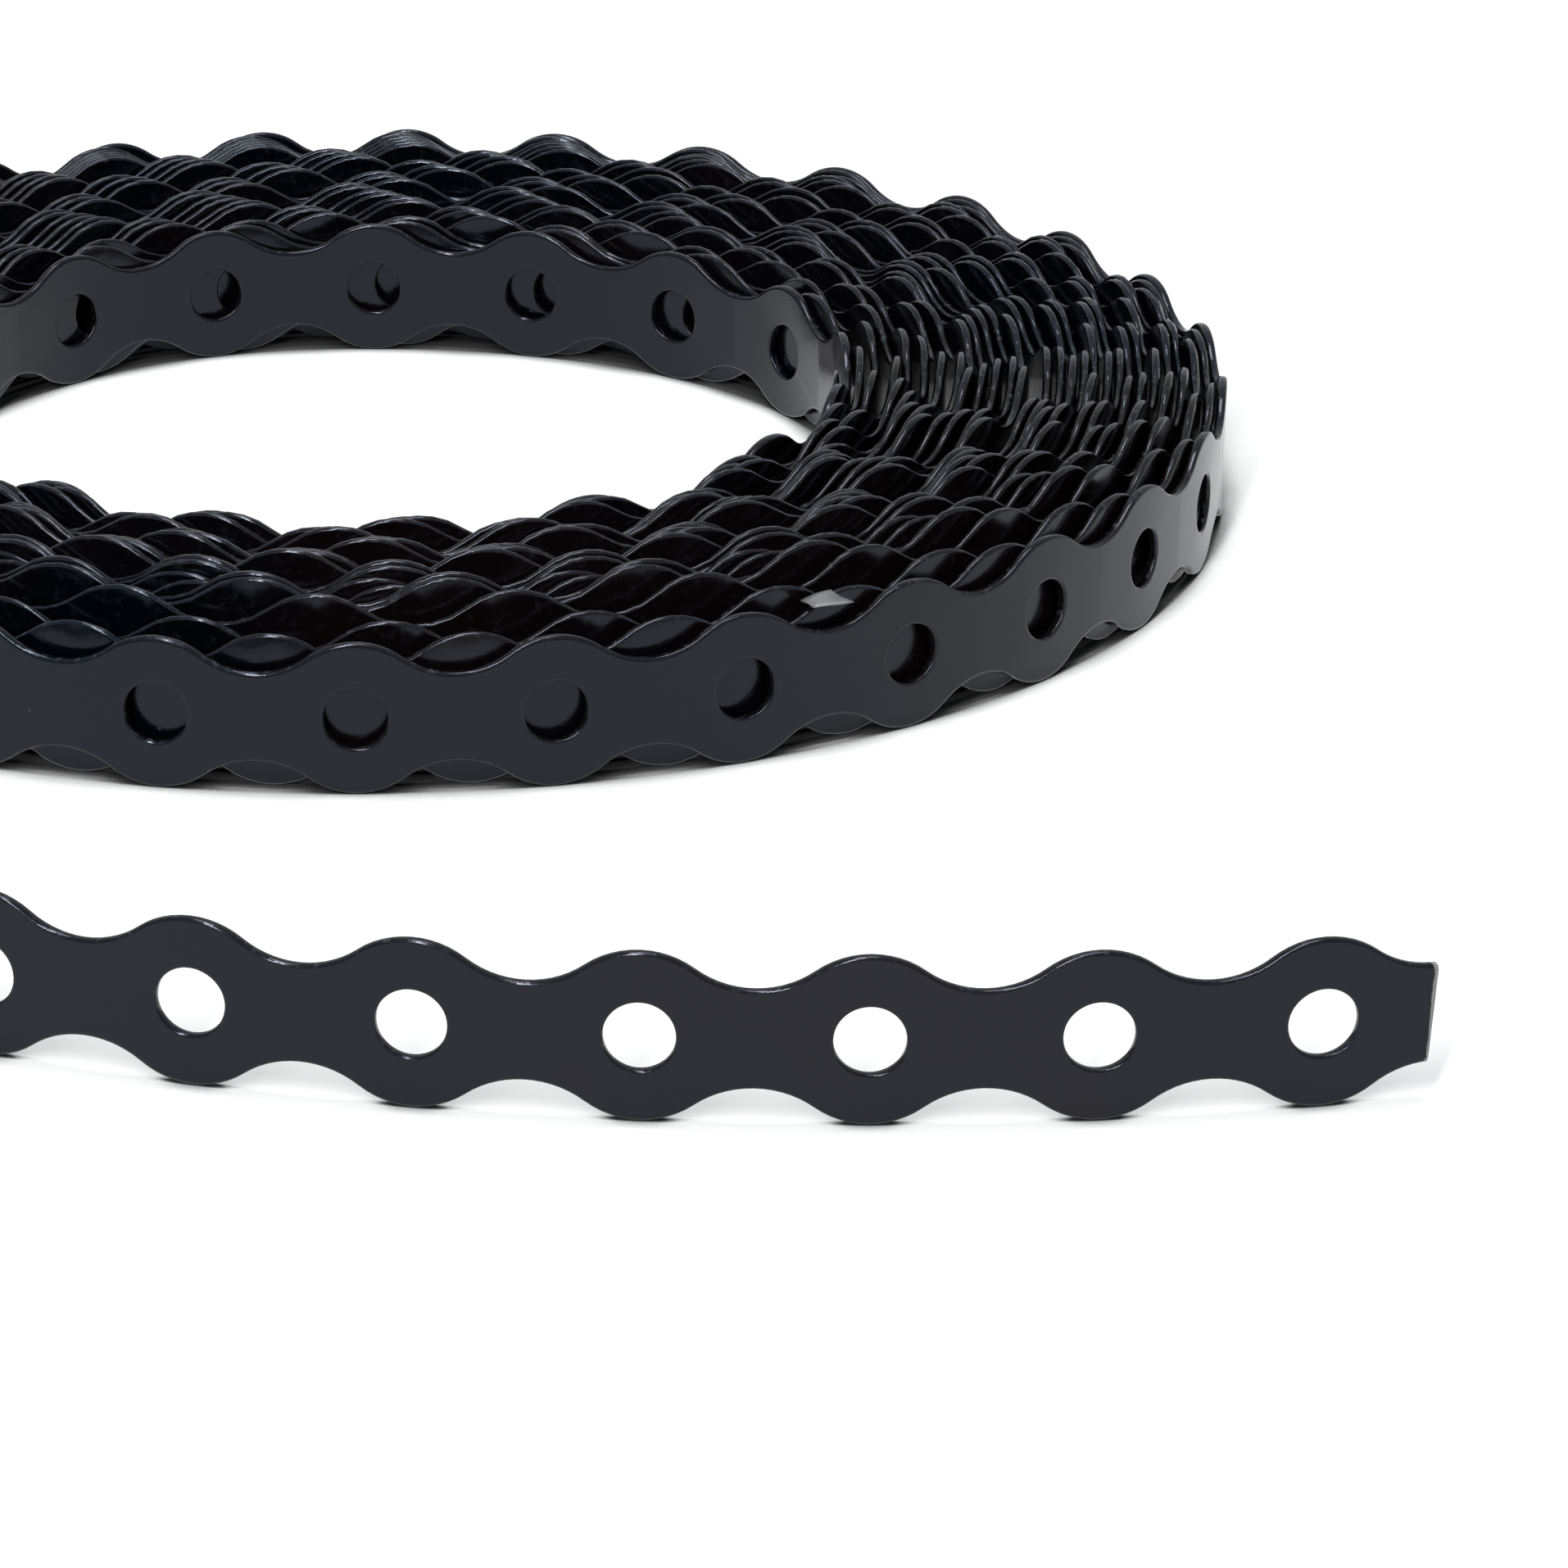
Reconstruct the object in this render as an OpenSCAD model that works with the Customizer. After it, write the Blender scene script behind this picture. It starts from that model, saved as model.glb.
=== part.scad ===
// Coil of scalloped, perforated steel strap with its outer end sprung loose.
// It lies flat, +Z up, edges on Z = 0, with the origin under the middle of its outline.

/* [Strap] */
// Width over the bulges
strap_w = 12; // [8:0.5:20]
// Width at the necks between the bulges
neck_w = 7; // [5:0.5:8]
// Thickness of the coated strap
strap_t = 0.8; // [0.5:0.1:1.5]
// Distance from hole to hole along the strap
hole_pitch = 15; // [13:0.5:20]
// Diameter of the holes
hole_d = 4.8; // [3:0.1:6]

/* [Coil] */
// Inside diameter of the coil
eye_d = 80; // [50:1:150]
// Air between one turn and the next
turn_gap = 0.4; // [0.2:0.1:1]
// Number of half turns wound in the coil
half_turns = 55; // [15:2:75]
// Depth of the grooves between the turns, from the tips of the bulges
groove_depth = 3; // [1:0.25:4]

/* [Loose end] */
// Direction in which the strap leaves the coil, in degrees from +X
lift_angle = 119.4; // [100:0.1:140]
// Number of holes in the loose end
loose_holes = 22; // [18:1:24]
// Radius of the stretch that has sprung away from the coil
sprung_r = 100.5; // [90:0.5:110]
// Radius of the flatter stretch at the cut end
end_r = 159.5; // [120:0.5:200]
// Number of holes in the flatter stretch at the cut end
end_holes = 7; // [4:1:9]

/* [Hidden] */
$fn = 96;

// Colour of the black coating
coating = [0.10, 0.10, 0.11];
// How much wider a hollow is than the arc that would run smoothly into the bulges
hollow_ease = 1.08;
// How much the tips of the bulges are flattened where they are wound
crest_flat = 0.05;
// Hair-thin seam between the loose end and the coil
seam = 0.02;
// Share of a pitch that is taken for rounding
rounding = 0.001;
// Room that a cutter needs past the faces it cuts
over = 1;

// Scalloped edge: a bulge about each hole, and a hollow about each neck
bulge_r = strap_w / 2;
tangent_r = (pow(hole_pitch / 2, 2) + pow(neck_w / 2, 2) - pow(bulge_r, 2)) / (strap_w - neck_w);
hollow_r = hollow_ease * tangent_r;
hollow_z = neck_w / 2 + hollow_r;
centre_gap = norm([hole_pitch / 2, hollow_z]);
trim_x = (pow(bulge_r, 2) - pow(hollow_r, 2) + pow(centre_gap, 2)) / pow(centre_gap, 2) * hole_pitch / 4;

// Spiral of half circles about two centres, which lie a half step apart on the joint line
step = strap_t + turn_gap;
inner_r = (eye_d + strap_t) / 2;
function turn_r(j) = inner_r + j * step / 2;
function on_far_side(j) = (half_turns - 1 - j) % 2 == 1;
function turn_centre(j) = (on_far_side(j) ? -1 : 1) * step / 4;
outer_turn = half_turns - 1;
lift_x = turn_centre(outer_turn) + turn_r(outer_turn);

// Lengths along the strap, counted from its cut end
loose_l = loose_holes * hole_pitch;
end_l = end_holes * hole_pitch;
end_sweep = end_l / end_r * 180 / PI;
sprung_sweep = (loose_l - end_l) / sprung_r * 180 / PI;
seam_sweep = seam / sprung_r * 180 / PI;
// From the cut end to the near end of a half turn
function length_to(j) = loose_l + PI * (outer_turn - j) * (turn_r(outer_turn) + turn_r(j + 1)) / 2;
// First station on a half turn, of those that lie whole pitches after a given one
function first_on(j, from) = from + ceil((length_to(j) - from) / hole_pitch - rounding) * hole_pitch;

// Middle of the outline, seen from the coil's axis
function polar(r, angle) = r * [cos(angle), sin(angle)];
joint_angle = lift_angle + sprung_sweep;
sprung_c = polar(lift_x - sprung_r, lift_angle);
end_c = sprung_c + polar(sprung_r - end_r, joint_angle);
tip = end_c + polar(end_r + strap_t / 2, joint_angle + end_sweep);
far = polar(turn_centre(outer_turn), lift_angle) + (turn_r(outer_turn) + strap_t / 2) * [1, 1];
near = [sprung_c[0] - sprung_r, end_c[1] - end_r] - strap_t / 2 * [1, 1];
middle = [near[0] + max(far[0], tip[0]), near[1] + far[1]] / 2;

// Coil's own axes, with +X where the strap leaves it
module from_coil() {
    translate(-middle)
        rotate(lift_angle)
            children();
}

// Upright bent blank, taller than the strap, which starts on the X axis
module blank(r, sweep) {
    rotate_extrude(angle = sweep)
        translate([r - strap_t / 2, -over])
            square([strap_t, strap_w + 2 * over]);
}

// Round bar that crosses a strap of radius r, reaching past its inner and its outer face
module cross_bar(r, z, bar_r, reach) {
    translate([r - strap_t / 2 - reach[0], 0, z])
        rotate([0, 90, 0])
            cylinder(r = bar_r, h = strap_t + reach[0] + reach[1]);
}

module hollows(r, reach) {
    for (side = [-1, 1])
        cross_bar(r, strap_w / 2 + side * hollow_z, hollow_r, reach);
}

// What is cut away above and below a bulge
module trims(r, reach) {
    difference() {
        translate([r - strap_t / 2 - reach[0], -trim_x, -2 * over])
            cube([strap_t + reach[0] + reach[1], 2 * trim_x, strap_w + 4 * over]);
        cross_bar(r, strap_w / 2, bulge_r, reach + [over, over]);
    }
}

module hole(r, reach) {
    cross_bar(r, strap_w / 2, hole_d / 2, reach);
}

// Stations along the loose end, seen from the joint between its two arcs
module loose_stations(from, to) {
    for (s = [from : hole_pitch : to])
        if (s < end_l)
            translate([-end_r, 0]) rotate(end_sweep - s / end_r * 180 / PI) children(0);
        else
            translate([-sprung_r, 0]) rotate(-(s - end_l) / sprung_r * 180 / PI) children(1);
}

module loose_end() {
    translate([lift_x - sprung_r, 0])
        rotate(sprung_sweep)
            translate([sprung_r, 0])
                difference() {
                    union() {
                        translate([-end_r, 0]) blank(end_r, end_sweep);
                        mirror([0, 1]) translate([-sprung_r, 0]) blank(sprung_r, sprung_sweep - seam_sweep);
                    }
                    loose_stations(0, loose_l) {
                        hollows(end_r, [over, over]);
                        hollows(sprung_r, [over, over]);
                    }
                    loose_stations(hole_pitch / 2, loose_l) {
                        trims(end_r, [over, over]);
                        trims(sprung_r, [over, over]);
                    }
                    loose_stations(hole_pitch / 2, loose_l) {
                        hole(end_r, [over, over]);
                        hole(sprung_r, [over, over]);
                    }
                }
}

// Section through the wound turns on one side of the joint line: ridges on a solid middle
module comb(first) {
    low = turn_r(first) - strap_t / 2;
    last = half_turns - 1 - (half_turns - 1 - first) % 2;
    translate([low, groove_depth])
        square([turn_r(last) + strap_t / 2 - low, strap_w - 2 * groove_depth]);
    for (j = [first : 2 : last]) {
        flat = j < 2 || j > outer_turn - 2 ? crest_flat : 0;
        translate([turn_r(j) - strap_t / 2, flat])
            square([strap_t, strap_w - 2 * flat]);
    }
}

// Stations along one half turn
module turn_stations(j, from) {
    for (s = [first_on(j, from) : hole_pitch : length_to(j - 1)])
        translate([turn_centre(j), 0])
            rotate((on_far_side(j) ? 180 : 0) - (s - length_to(j)) / turn_r(j) * 180 / PI)
                children();
}

// Scalloped edges and holes of one half turn
module turn_cuts(j, reach) {
    turn_stations(j, 0) hollows(turn_r(j), reach);
    turn_stations(j, hole_pitch / 2) trims(turn_r(j), reach);
    turn_stations(j, hole_pitch / 2) hole(turn_r(j), reach);
}

module coil() {
    difference() {
        union() {
            for (first = [0, 1])
                translate([turn_centre(first), 0])
                    rotate(on_far_side(first) ? 0 : 180)
                        rotate_extrude(angle = 180)
                            comb(first);
        }
        for (j = [outer_turn - 1, outer_turn])
            turn_cuts(j, [turn_gap / 2, over]);
        for (j = [0, 1])
            turn_cuts(j, [over, turn_gap / 2]);
    }
}

module strap() {
    color(coating)
        from_coil() {
            coil();
            loose_end();
        }
}

strap();
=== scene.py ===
"""Coil of black coated, scalloped and perforated steel strap with its outer end sprung loose."""

import logging
import math
from collections.abc import Callable
from dataclasses import dataclass
from enum import Enum
from typing import NamedTuple

import bmesh
import bpy
import numpy as np
from mathutils import Matrix, Vector


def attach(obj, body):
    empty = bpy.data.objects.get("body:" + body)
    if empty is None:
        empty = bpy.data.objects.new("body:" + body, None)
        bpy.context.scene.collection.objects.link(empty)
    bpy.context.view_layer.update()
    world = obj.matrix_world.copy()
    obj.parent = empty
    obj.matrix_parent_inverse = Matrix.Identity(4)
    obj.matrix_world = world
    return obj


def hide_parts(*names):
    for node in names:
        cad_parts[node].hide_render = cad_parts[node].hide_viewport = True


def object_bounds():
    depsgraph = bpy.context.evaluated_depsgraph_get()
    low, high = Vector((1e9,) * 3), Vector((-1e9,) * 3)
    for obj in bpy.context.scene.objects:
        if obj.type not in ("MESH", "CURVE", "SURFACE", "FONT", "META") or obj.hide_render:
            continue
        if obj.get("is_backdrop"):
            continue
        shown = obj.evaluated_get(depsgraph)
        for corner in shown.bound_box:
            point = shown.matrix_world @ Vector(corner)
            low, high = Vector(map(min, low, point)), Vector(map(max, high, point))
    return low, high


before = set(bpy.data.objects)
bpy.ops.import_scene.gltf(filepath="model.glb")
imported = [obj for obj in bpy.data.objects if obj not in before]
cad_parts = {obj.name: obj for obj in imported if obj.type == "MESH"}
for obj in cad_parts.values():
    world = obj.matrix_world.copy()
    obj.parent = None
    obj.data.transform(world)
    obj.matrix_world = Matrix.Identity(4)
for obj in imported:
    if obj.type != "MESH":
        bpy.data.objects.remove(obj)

CAD_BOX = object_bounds()
MM = 0.001
LOG = logging.getLogger("strap")

Colour = tuple[float, float, float]
Face = tuple[int, ...]
Point = tuple[float, float, float]
TileMesh = tuple[list[Point], list[Face], list[float]]
Link = bpy.types.NodeSocket
Given = Link | float | tuple[float, ...]


def put(name: str, data: bpy.types.ID) -> bpy.types.Object:
    """Adds an object to the scene, at the origin.

    Args:
        name: Name of the object.
        data: Its mesh, lamp or camera.

    Returns:
        The object.
    """
    thing = bpy.data.objects.new(name, data)
    bpy.context.scene.collection.objects.link(thing)
    return thing


def settled(thing: bpy.types.Object) -> bpy.types.Mesh:
    """Plain mesh of what an object's modifiers make of it."""
    graph = bpy.context.evaluated_depsgraph_get()
    return bpy.data.meshes.new_from_object(thing.evaluated_get(graph), depsgraph=graph)


class EdgePoint(NamedTuple):
    """Point on the strap's flat outline, with the direction that leads out of the strap."""

    u: float
    v: float
    out_u: float
    out_v: float
    on_edge: bool

    def mirrored(self, along: int, across: int) -> "EdgePoint":
        """The point on the other side, where a factor is -1."""
        u, v, out_u, out_v, on_edge = self
        return EdgePoint(along * u, across * v, along * out_u, across * out_v, on_edge)


Place = Callable[[EdgePoint], Point]


class TileDetail(Enum):
    """How closely one period of the strap is modelled: steps along a hollow, and along a bulge."""

    FINE = (7, 6)
    MEDIUM = (4, 4)
    PLAIN = (3, 3)


class MeshMark(Enum):
    """Names of the attributes that the strap's meshes carry."""

    FLAT_PLACE = "strap_place"
    EDGE = "strap_edge"
    CUT = "strap_cut"


@dataclass(frozen=True)
class StrapSizes:
    """Sizes of the flat strap, in metres."""

    width: float = 12.0 * MM
    neck: float = 7.0 * MM
    thickness: float = 0.8 * MM
    pitch: float = 15.0 * MM
    hole: float = 4.8 * MM
    edge_round: float = 0.24 * MM
    rim_round: float = 0.20 * MM
    face_margin: float = 0.14 * MM

    @property
    def bulge_radius(self) -> float:
        """Radius of the bulges about the holes."""
        return self.width / 2

    @property
    def hollow_radius(self) -> float:
        """Radius of the hollows, which run smoothly into the bulges."""
        half, neck, bulge = self.pitch / 2, self.neck / 2, self.bulge_radius
        return (half**2 + neck**2 - bulge**2) / (self.width - self.neck)

    def quarter_edge(self, hollow_steps: int, bulge_steps: int) -> list[EdgePoint]:
        """Scalloped edge from the middle of a neck to the tip of a bulge.

        Args:
            hollow_steps: Number of steps along the hollow.
            bulge_steps: Number of steps along the bulge.

        Returns:
            The edge's points, in the quarter where both coordinates are positive.
        """
        half, hollow, bulge = self.pitch / 2, self.hollow_radius, self.bulge_radius
        centre_v = self.neck / 2 + hollow
        turn = math.atan2(centre_v, half)
        points = []
        for i in range(hollow_steps + 1):
            angle = -math.pi / 2 - (math.pi / 2 - turn) * i / hollow_steps
            u, v = math.cos(angle), math.sin(angle)
            points.append(EdgePoint(half + hollow * u, centre_v + hollow * v, -u, -v, True))
        for i in range(1, bulge_steps + 1):
            angle = turn + (math.pi / 2 - turn) * i / bulge_steps
            u, v = math.cos(angle), math.sin(angle)
            points.append(EdgePoint(bulge * u, bulge * v, u, v, True))
        return points


@dataclass(frozen=True)
class EdgeWearAndSheen:
    """Share of edge wear and of the painted edge sheen, from the hole's wall out to the strap's edge, and
    round a plain section.
    """

    bore: float = 0.7
    rim: float = 0.8
    rim_top: float = 0.2
    face: float = 0.0
    edge_top: float = 0.3
    edge: float = 1.0
    plain: tuple[float, ...] = (0.2, 0.4, 1.0, 1.0, 0.4, 0.2)


@dataclass(frozen=True)
class StrapTile:
    """One period of the flat strap, about one hole: X runs along it, Y out of its face, Z across it."""

    sizes: StrapSizes
    detail: TileDetail
    wear: EdgeWearAndSheen = EdgeWearAndSheen()
    # Shares of half the neck at which a tile's ends have points
    fine_ends: tuple[float, ...] = (0.0, 0.34, 0.68)
    medium_ends: tuple[float, ...] = (0.0, 0.5)
    # How far the flat of a fine tile's face stays clear of its ends
    end_slack: float = 0.4 * MM
    # Share of its radius by which the middle of a rounding stands back from the sharp corner
    corner_share: float = 0.29
    touch: float = 1e-7

    def build(self) -> bpy.types.Object:
        """Makes the tile.

        Returns:
            The tile, as an object that a winding tree can repeat.
        """
        points, faces, wear_and_sheen = self._plain() if self.detail is TileDetail.PLAIN else self._holed()
        mesh = bpy.data.meshes.new(f"strap_tile_{self.detail.name.lower()}")
        mesh.from_pydata(points, [], faces)
        mesh.attributes.new(MeshMark.EDGE.value, "FLOAT", "POINT").data.foreach_set("value", wear_and_sheen)
        mesh.shade_smooth()
        return put(mesh.name, mesh)

    def _loop(self) -> list[EdgePoint]:
        """Whole outline of the tile.

        Returns:
            Its points, from the middle of its far end round to its start.
        """
        fine = self.detail is TileDetail.FINE
        half, neck = self.sizes.pitch / 2, self.sizes.neck / 2
        across = [share * neck for share in (self.fine_ends if fine else self.medium_ends)]
        if fine:
            across.append(neck - self.sizes.edge_round - self.sizes.face_margin)
        ends = [EdgePoint(half, v, 1, 0, False) for v in across]
        quarter = ends + self.sizes.quarter_edge(*self.detail.value)
        upper = quarter + [p.mirrored(-1, 1) for p in quarter[-2::-1]]
        lower = [p.mirrored(1, -1) for p in upper]
        return upper + lower[-2:0:-1]

    def _holed(self) -> TileMesh:
        """Tile with its punched hole, made of rings that run from the hole to the edge.

        Returns:
            The points, the faces and each point's share of edge wear and painted edge sheen.
        """
        sizes, wear, loop = self.sizes, self.wear, self._loop()
        fine, part = self.detail is TileDetail.FINE, self.corner_share
        half_t, hole_r, rim, edge = sizes.thickness / 2, sizes.hole / 2, sizes.rim_round, sizes.edge_round
        points: list[Point] = []
        wear_and_sheen: list[float] = []
        faces: list[Face] = []

        def ring(place: Place, share: float, end_share: float | None = None) -> list[int]:
            """Adds one point for each point of the outline.

            Args:
                place: Gives a point its place.
                share: Share of edge wear and painted edge sheen of the ring.
                end_share: That share at the tile's ends, where it differs.

            Returns:
                The points' numbers.
            """
            first = len(points)
            for p in loop:
                points.append(place(p))
                wear_and_sheen.append(share if p.on_edge or end_share is None else end_share)
            return list(range(first, len(points)))

        def about_hole(radius: float, w: float) -> Place:
            """Places a point on a circle about the hole."""
            return lambda p: (radius * p.u / math.hypot(p.u, p.v), w, radius * p.v / math.hypot(p.u, p.v))

        def inside_edge(inset: float, w: float, slack: float = 0.0) -> Place:
            """Places a point inside the outline.

            Args:
                inset: How far a point of the edge moves inwards.
                w: Height of the point over the strap's middle.
                slack: How far a point of the tile's ends moves inwards.

            Returns:
                What gives a point its place.
            """

            def place(p: EdgePoint) -> Point:
                """Moves a point of the edge by the inset, and a point of an end only by the slack.

                Args:
                    p: The point of the outline.

                Returns:
                    Its place.
                """
                if abs(p.u) > sizes.pitch / 2 - self.touch and slack:
                    return p.u - math.copysign(slack, p.u), w, p.v - p.out_v * inset
                return p.u - p.out_u * inset * p.on_edge, w, p.v - p.out_v * inset * p.on_edge

            return place

        sides = []
        for side in (1, -1):
            w = side * half_t
            rings = [ring(about_hole(hole_r, w - side * rim), wear.bore)]
            if fine:
                rings.append(ring(about_hole(hole_r + part * rim, w - side * part * rim), wear.rim))
            rings.append(ring(about_hole(hole_r + rim, w), wear.rim_top))
            if fine:
                rings.append(ring(about_hole(hole_r + rim + sizes.face_margin, w), wear.face))
                rings.append(ring(inside_edge(edge + sizes.face_margin, w, self.end_slack), wear.face))
            rings.append(ring(inside_edge(edge, w), wear.edge_top, wear.face))
            on_face = len(rings)
            if fine:
                rings.append(ring(inside_edge(part * edge, w - side * part * edge), wear.edge))
            rings.append(ring(inside_edge(0.0, w - side * edge), wear.edge))
            sides.append((side, rings, on_face))
        front, back = sides[0][1], sides[1][1]
        for k in range(len(loop)):
            n = (k + 1) % len(loop)
            on_edge = loop[k].on_edge and loop[n].on_edge
            for side, rings, on_face in sides:
                for i in range(1, len(rings)):
                    if i < on_face or on_edge:
                        quad = (rings[i - 1][k], rings[i][k], rings[i][n], rings[i - 1][n])
                        faces.append(quad[::-side])
            faces.append((front[0][k], back[0][k], back[0][n], front[0][n])[::-1])
            if on_edge:
                faces.append((front[-1][k], back[-1][k], back[-1][n], front[-1][n]))
        return self._without_spares(points, faces, wear_and_sheen)

    @staticmethod
    def _without_spares(points: list[Point], faces: list[Face], wear_and_sheen: list[float]) -> TileMesh:
        """Leaves out the points that no face uses.

        Args:
            points: All the points.
            faces: The faces, by the points' numbers.
            wear_and_sheen: Each point's share of edge wear and painted edge sheen.

        Returns:
            The same for the points that are used.
        """
        used = sorted({i for face in faces for i in face})
        number = {old: new for new, old in enumerate(used)}
        kept_faces = [tuple(number[i] for i in face) for face in faces]
        return [points[i] for i in used], kept_faces, [wear_and_sheen[i] for i in used]

    def _plain(self) -> TileMesh:
        """Tile without a hole, for the turns that only show their upper and lower edges.

        Returns:
            The points, the faces and each point's share of edge wear and painted edge sheen.
        """
        half_t, edge = self.sizes.thickness / 2, self.sizes.edge_round
        quarter = self.sizes.quarter_edge(*self.detail.value)
        stations = [(-p.u, p.v) for p in quarter] + [(p.u, p.v) for p in quarter[-2::-1]]
        points, faces, wear_and_sheen = [], [], []
        for u, v in stations:
            section = ((half_t, -v), (half_t, v - edge), (half_t - edge, v),
                       (edge - half_t, v), (-half_t, v - edge), (-half_t, -v))
            points += [(u, w, z) for w, z in section]
            wear_and_sheen += self.wear.plain
        count = len(self.wear.plain)
        for first in range(0, len(points) - count, count):
            for k in range(count):
                a, b = first + k, first + (k + 1) % count
                faces.append((a, b, b + count, a + count))
        return points, faces, wear_and_sheen


@dataclass(frozen=True)
class PathSamples:
    """Evenly spaced stations along the strap's middle line, from its cut end inwards."""

    place: np.ndarray
    side: np.ndarray
    up: np.ndarray
    per_period: int

    @property
    def periods(self) -> int:
        """Number of whole periods along the strap."""
        return (len(self.place) - 1) // self.per_period

    def stretch(self, first: int, last: int) -> "PathSamples":
        """Stations of the periods from first up to, and without, last."""
        part = slice(first * self.per_period, last * self.per_period + 1)
        return PathSamples(self.place[part], self.side[part], self.up[part], self.per_period)


@dataclass(frozen=True)
class WoundPath:
    """Line that the strap follows: its sprung end, and the turns of the coil.

    Lengths are in metres and directions in degrees. Turns are counted inwards from 0, and the places in a
    turn are shares of it, from where the strap leaves the coil.
    """

    sizes: StrapSizes
    axis: tuple[float, float] = (4.572 * MM, 27.866 * MM)
    lift_angle: float = 119.4
    lift_radius: float = 73.1 * MM
    loose_holes: int = 22
    end_holes: int = 7
    sprung_radius: float = 100.5 * MM
    end_radius: float = 159.5 * MM
    turns: float = 27.5
    # Stations in a turn and in a hole pitch, and the start of the random draws
    fineness: int = 720
    per_period: int = 30
    seed: int = 41
    # Steps from turn to turn: even on the outermost turn, then uneven. The last two are in millimetres
    outer_step: float = 1.2 * MM
    least_step: float = 0.815 * MM
    step_shape: float = 1.6
    step_spare: float = 0.4
    loose_steps: tuple[float, ...] = (1.6, 2.2, 2.4, 2.0, 0.82)
    # At each key direction: how loose the outer turns are, the wall in millimetres, and the share of the rise
    looseness: tuple[float, ...] = (0, 0, 0, 0, 0.1, 0.35, 0.8, 1.0, 0.9, 0.6, 0.3, 0.1)
    walls: tuple[float, ...] = (34.0, 35.6, 34.6, 33.6, 33.4, 33.2, 32.6, 29.0, 31.0, 33.4, 33.6, 33.6)
    crown: tuple[float, ...] = (0.1, 0.05, 0.1, 0.3, 0.4, 0.6, 0.9, 1.0, 0.9, 0.6, 0.4, 0.2)
    # Number of the key direction at the front
    front_key: int = 8
    # Shares of a turn over which the keyed values and the radius are evened out
    key_blur: float = 0.075
    radius_blur: float = 0.02
    # How far a turn rides up at the front, and by how many millimetres it varies between the level turns
    front_rises: tuple[tuple[int, float], ...] = (
        (1, 0.0), (2, 0.2 * MM), (3, 1.4 * MM), (4, 2.1 * MM), (5, 2.1 * MM), (6, 1.0 * MM),
        (7, 1.1 * MM), (8, 1.9 * MM), (9, 2.0 * MM), (10, 2.4 * MM), (14, 1.2 * MM), (15, 1.9 * MM),
        (18, 0.9 * MM), (19, 1.5 * MM), (22, 0.5 * MM), (23, 0.9 * MM), (26, 0.0))
    level_turns: tuple[int, int] = (1, 26)
    uneven_rise: float = 0.30
    most_lean: float = 0.7
    # Directions of a crest at the back: of the turns, of the two innermost ones, and the furthest one allowed
    back_crest: float = 92.9
    eye_crest: float = 95.3
    inward_crest: float = 91.6
    last_back_crest: float = 112.0
    # Directions of a crest at the front of the outer turns, and its X in groups of turns from a first one
    front_crests: tuple[float, ...] = (-92.5, -85.3, -90.0, -94.4, -94.6)
    front_groups: tuple[tuple[int, float], ...] = (
        (6, 9.8 * MM), (10, 2.6 * MM), (15, 8.6 * MM), (19, 4.1 * MM), (23, 10.0 * MM))
    spread: float = 0.9 * MM
    spread_beat: float = 2.4
    # Shifts of the holes along the outermost turn, by share of the turn
    outer_slips: tuple[tuple[float, float], ...] = (
        (-0.07, 0.0), (0.016, 2.1 * MM), (0.049, 2.2 * MM), (0.09, 3.0 * MM), (0.15, 2.5 * MM),
        (0.25, 2.0 * MM), (0.28, 1.4 * MM), (0.37, 0.0), (0.62, 0.0))
    # How the crests at the back drift from turn to turn, and jump from group to group
    loose_drift: float = 0.25
    group_jump: tuple[float, float] = (3.5, 11.5)
    group_drift: tuple[float, float] = (0.2, 1.1)
    group_turns: tuple[int, int] = (2, 6)
    drift_scale: float = 1.15
    # Shares of a turn: how far ahead its back is settled, how long a shift holds, and where its front ends
    back_settled: float = 0.10
    hold: float = 0.005
    front_end: float = 0.62
    ease_steps: int = 10

    @property
    def keys(self) -> int:
        """Number of directions in each turn at which its place is given."""
        return len(self.walls)

    @property
    def started_turns(self) -> int:
        """Number of turns, with the last part of a turn as a whole one."""
        return int(math.ceil(self.turns))

    def samples(self) -> PathSamples:
        """Stations along the whole strap.

        Returns:
            The stations, a fixed share of the hole pitch apart.
        """
        pitch = self.sizes.pitch
        u_coil, *coil = self._coil()
        loose = np.arange(0, self.loose_holes * pitch, pitch / self.per_period / 2)
        upright = np.tile((0.0, 0.0, 1.0), (len(loose), 1))
        lead = loose / (2 * math.pi * self.lift_radius)
        u_all = np.concatenate([loose + np.interp(lead - lead[-1], *zip(*self.outer_slips)), u_coil])
        periods = int(u_all[-1] / pitch)
        even = np.arange(periods * self.per_period + 1) * pitch / self.per_period
        picked = []
        for parts in zip((*self._loose(loose), upright), coil):
            vectors = np.concatenate(parts)
            picked.append(self._turned(np.stack([np.interp(even, u_all, column) for column in vectors.T], 1)))
        picked[0] += np.array([*self.axis, 0.0])
        return PathSamples(*picked, self.per_period)

    def _turned(self, vectors: np.ndarray) -> np.ndarray:
        """Turns vectors from the coil's own axes to the part's.

        Args:
            vectors: Vectors whose X leads to where the strap leaves the coil.

        Returns:
            The turned vectors.
        """
        angle = math.radians(self.lift_angle)
        cos, sin = math.cos(angle), math.sin(angle)
        return vectors @ np.array([[cos, -sin, 0], [sin, cos, 0], [0, 0, 1]]).T

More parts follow.
